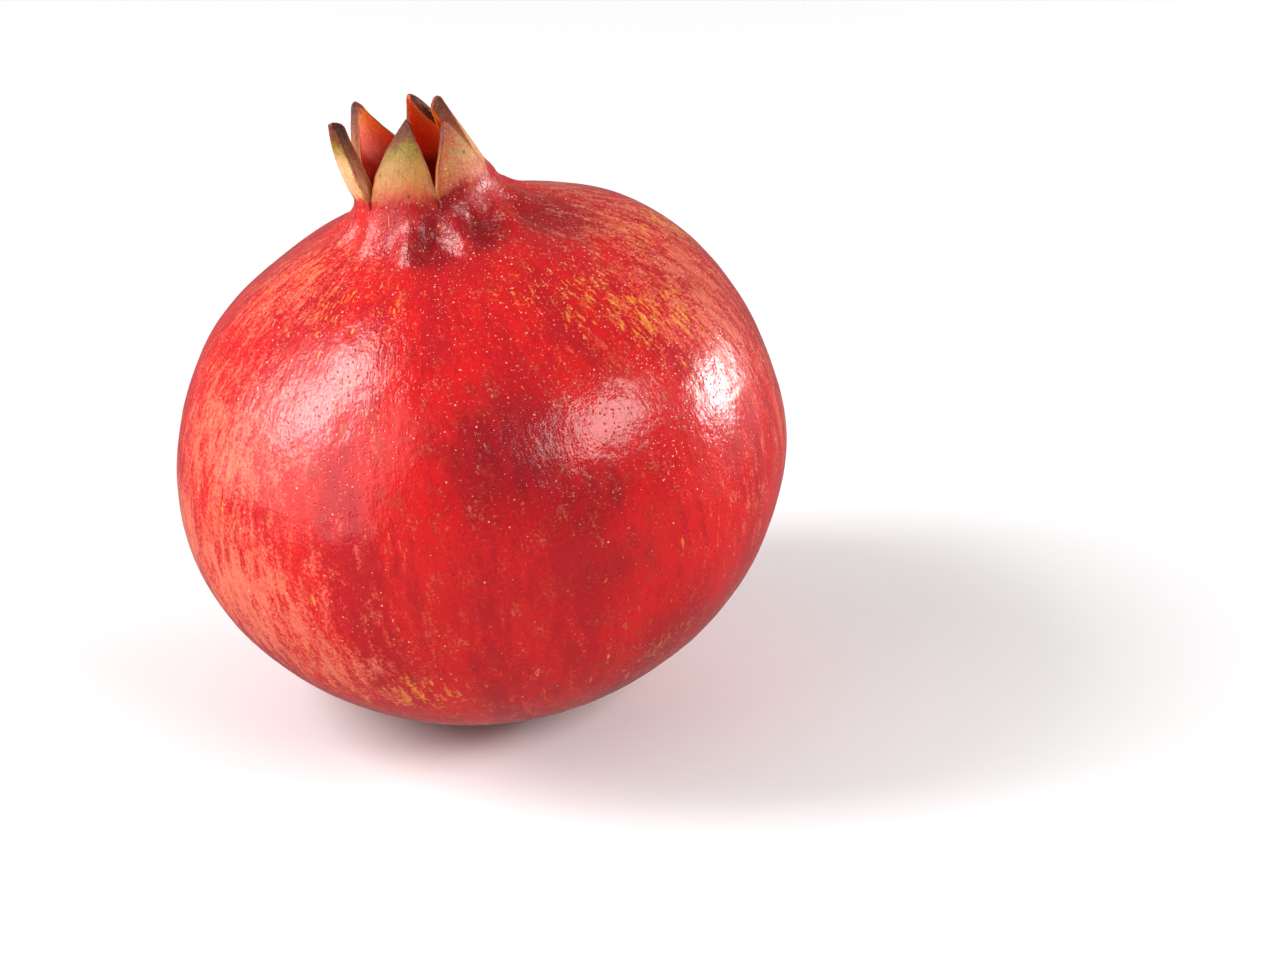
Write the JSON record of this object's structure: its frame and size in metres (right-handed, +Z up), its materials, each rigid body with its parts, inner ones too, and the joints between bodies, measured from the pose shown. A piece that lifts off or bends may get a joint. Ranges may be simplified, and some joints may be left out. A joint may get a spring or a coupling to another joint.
{
  "type": "pomegranate",
  "caption": "Round whole pomegranate with a leathery red rind and an open crown of pointed calyx lobes, leaning on a small flat spot.",
  "frame": {"origin": "middle of the small flat spot the fruit rests on", "axes": "+Z up from the surface it rests on, -Y towards the front of the fruit, and the crown leans 10 degrees from +Z towards -X"},
  "size_m": [0.0953, 0.0946, 0.0987],
  "materials": {
    "rind": "satin"
  },
  "bodies": {
    "root": {"pomegranate": "rind"}
  },
  "joints": []
}
